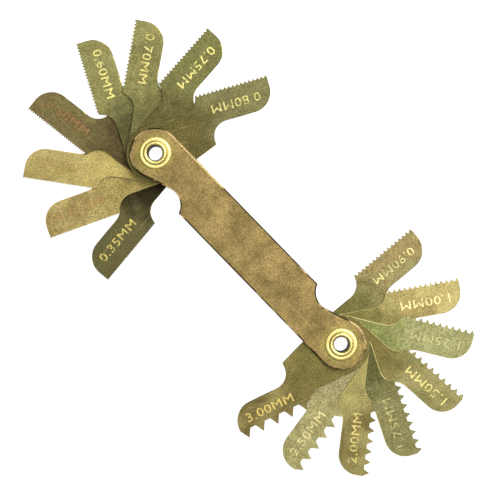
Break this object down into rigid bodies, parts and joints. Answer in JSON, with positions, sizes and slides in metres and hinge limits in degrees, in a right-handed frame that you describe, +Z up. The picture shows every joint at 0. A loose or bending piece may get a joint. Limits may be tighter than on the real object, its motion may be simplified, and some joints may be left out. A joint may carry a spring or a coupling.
{
  "type": "screw pitch gauge",
  "caption": "Folding screw-thread pitch gauge: thin toothed brass leaves swing out of a flat two-plate case on a hollow rivet at each end.",
  "frame": {"origin": "on the table under the middle of the opened gauge's footprint", "axes": "+X along the case from the fine-pitch rivet to the coarse-pitch rivet, +Z up out of the front cover"},
  "size_m": [0.1004, 0.0506, 0.0069],
  "materials": {
    "cover_back": "aged, fine-grained brown patina",
    "cover_front": "aged, fine-grained brown patina",
    "rivet_fine": "polished yellow brass",
    "rivet_coarse": "polished yellow brass",
    "washer_fine": "polished yellow brass",
    "washer_coarse": "polished yellow brass",
    "leaf_0_35": "aged brass sheet, mottled patina, dark olive",
    "leaf_0_40": "aged brass sheet, mottled patina, bright worn edges",
    "leaf_0_45": "aged brass sheet, mottled patina, bright worn edges",
    "leaf_0_50": "aged brass sheet, mottled brown patina",
    "leaf_0_60": "aged brass sheet, mottled olive patina",
    "leaf_0_70": "aged brass sheet, mottled olive patina",
    "leaf_0_75": "aged brass sheet, mottled olive patina",
    "leaf_0_80": "aged brass sheet, mottled olive patina",
    "leaf_0_90": "aged brass sheet, mottled patina",
    "leaf_1_00": "aged brass sheet, mottled patina, bright worn edges",
    "leaf_1_25": "aged brass sheet, mottled patina, bright worn edges",
    "leaf_1_50": "aged brass sheet, mottled patina, bright worn edges",
    "leaf_1_75": "aged brass sheet, mottled patina, bright worn edges",
    "leaf_2_00": "aged brass sheet, mottled patina, bright worn edges",
    "leaf_2_50": "aged brass sheet, mottled patina, pale",
    "leaf_3_00": "aged brass sheet, mottled brown patina"
  },
  "bodies": {
    "case": {"cover_back": "cover_back", "cover_front": "cover_front", "rivet_fine": "rivet_fine", "rivet_coarse": "rivet_coarse", "washer_fine": "washer_fine", "washer_coarse": "washer_coarse"},
    "leaf_0_35": {"leaf_0_35": "leaf_0_35"},
    "leaf_0_40": {"leaf_0_40": "leaf_0_40"},
    "leaf_0_45": {"leaf_0_45": "leaf_0_45"},
    "leaf_0_50": {"leaf_0_50": "leaf_0_50"},
    "leaf_0_60": {"leaf_0_60": "leaf_0_60"},
    "leaf_0_70": {"leaf_0_70": "leaf_0_70"},
    "leaf_0_75": {"leaf_0_75": "leaf_0_75"},
    "leaf_0_80": {"leaf_0_80": "leaf_0_80"},
    "leaf_0_90": {"leaf_0_90": "leaf_0_90"},
    "leaf_1_00": {"leaf_1_00": "leaf_1_00"},
    "leaf_1_25": {"leaf_1_25": "leaf_1_25"},
    "leaf_1_50": {"leaf_1_50": "leaf_1_50"},
    "leaf_1_75": {"leaf_1_75": "leaf_1_75"},
    "leaf_2_00": {"leaf_2_00": "leaf_2_00"},
    "leaf_2_50": {"leaf_2_50": "leaf_2_50"},
    "leaf_3_00": {"leaf_3_00": "leaf_3_00"}
  },
  "joints": [
    {"name": "swing_0_35", "type": "hinge", "parent": "case", "child": "leaf_0_35", "pos_m": [-0.02499, 0.00015, 0], "axis": [0, 0, 1], "range_deg": [-251, 64]},
    {"name": "swing_0_40", "type": "hinge", "parent": "case", "child": "leaf_0_40", "pos_m": [-0.02499, 0.00015, 0], "axis": [0, 0, 1], "range_deg": [-220.5, 94.5]},
    {"name": "swing_0_45", "type": "hinge", "parent": "case", "child": "leaf_0_45", "pos_m": [-0.02499, 0.00015, 0], "axis": [0, 0, 1], "range_deg": [-192, 123]},
    {"name": "swing_0_50", "type": "hinge", "parent": "case", "child": "leaf_0_50", "pos_m": [-0.02499, 0.00015, 0], "axis": [0, 0, 1], "range_deg": [-162.5, 152.5]},
    {"name": "swing_0_60", "type": "hinge", "parent": "case", "child": "leaf_0_60", "pos_m": [-0.02499, 0.00015, 0], "axis": [0, 0, 1], "range_deg": [-128, 187]},
    {"name": "swing_0_70", "type": "hinge", "parent": "case", "child": "leaf_0_70", "pos_m": [-0.02499, 0.00015, 0], "axis": [0, 0, 1], "range_deg": [-100.5, 214.5]},
    {"name": "swing_0_75", "type": "hinge", "parent": "case", "child": "leaf_0_75", "pos_m": [-0.02499, 0.00015, 0], "axis": [0, 0, 1], "range_deg": [-69.5, 245.5]},
    {"name": "swing_0_80", "type": "hinge", "parent": "case", "child": "leaf_0_80", "pos_m": [-0.02499, 0.00015, 0], "axis": [0, 0, 1], "range_deg": [-37, 278]},
    {"name": "swing_0_90", "type": "hinge", "parent": "case", "child": "leaf_0_90", "pos_m": [0.02521, 0.00015, 0], "axis": [0, 0, 1], "range_deg": [-240.5, 74.5]},
    {"name": "swing_1_00", "type": "hinge", "parent": "case", "child": "leaf_1_00", "pos_m": [0.02521, 0.00015, 0], "axis": [0, 0, 1], "range_deg": [-211, 104]},
    {"name": "swing_1_25", "type": "hinge", "parent": "case", "child": "leaf_1_25", "pos_m": [0.02521, 0.00015, 0], "axis": [0, 0, 1], "range_deg": [-187, 128]},
    {"name": "swing_1_50", "type": "hinge", "parent": "case", "child": "leaf_1_50", "pos_m": [0.02521, 0.00015, 0], "axis": [0, 0, 1], "range_deg": [-159, 156]},
    {"name": "swing_1_75", "type": "hinge", "parent": "case", "child": "leaf_1_75", "pos_m": [0.02521, 0.00015, 0], "axis": [0, 0, 1], "range_deg": [-129, 186]},
    {"name": "swing_2_00", "type": "hinge", "parent": "case", "child": "leaf_2_00", "pos_m": [0.02521, 0.00015, 0], "axis": [0, 0, 1], "range_deg": [-103.5, 211.5]},
    {"name": "swing_2_50", "type": "hinge", "parent": "case", "child": "leaf_2_50", "pos_m": [0.02521, 0.00015, 0], "axis": [0, 0, 1], "range_deg": [-74.5, 240.5]},
    {"name": "swing_3_00", "type": "hinge", "parent": "case", "child": "leaf_3_00", "pos_m": [0.02521, 0.00015, 0], "axis": [0, 0, 1], "range_deg": [-46.5, 268.5]}
  ]
}
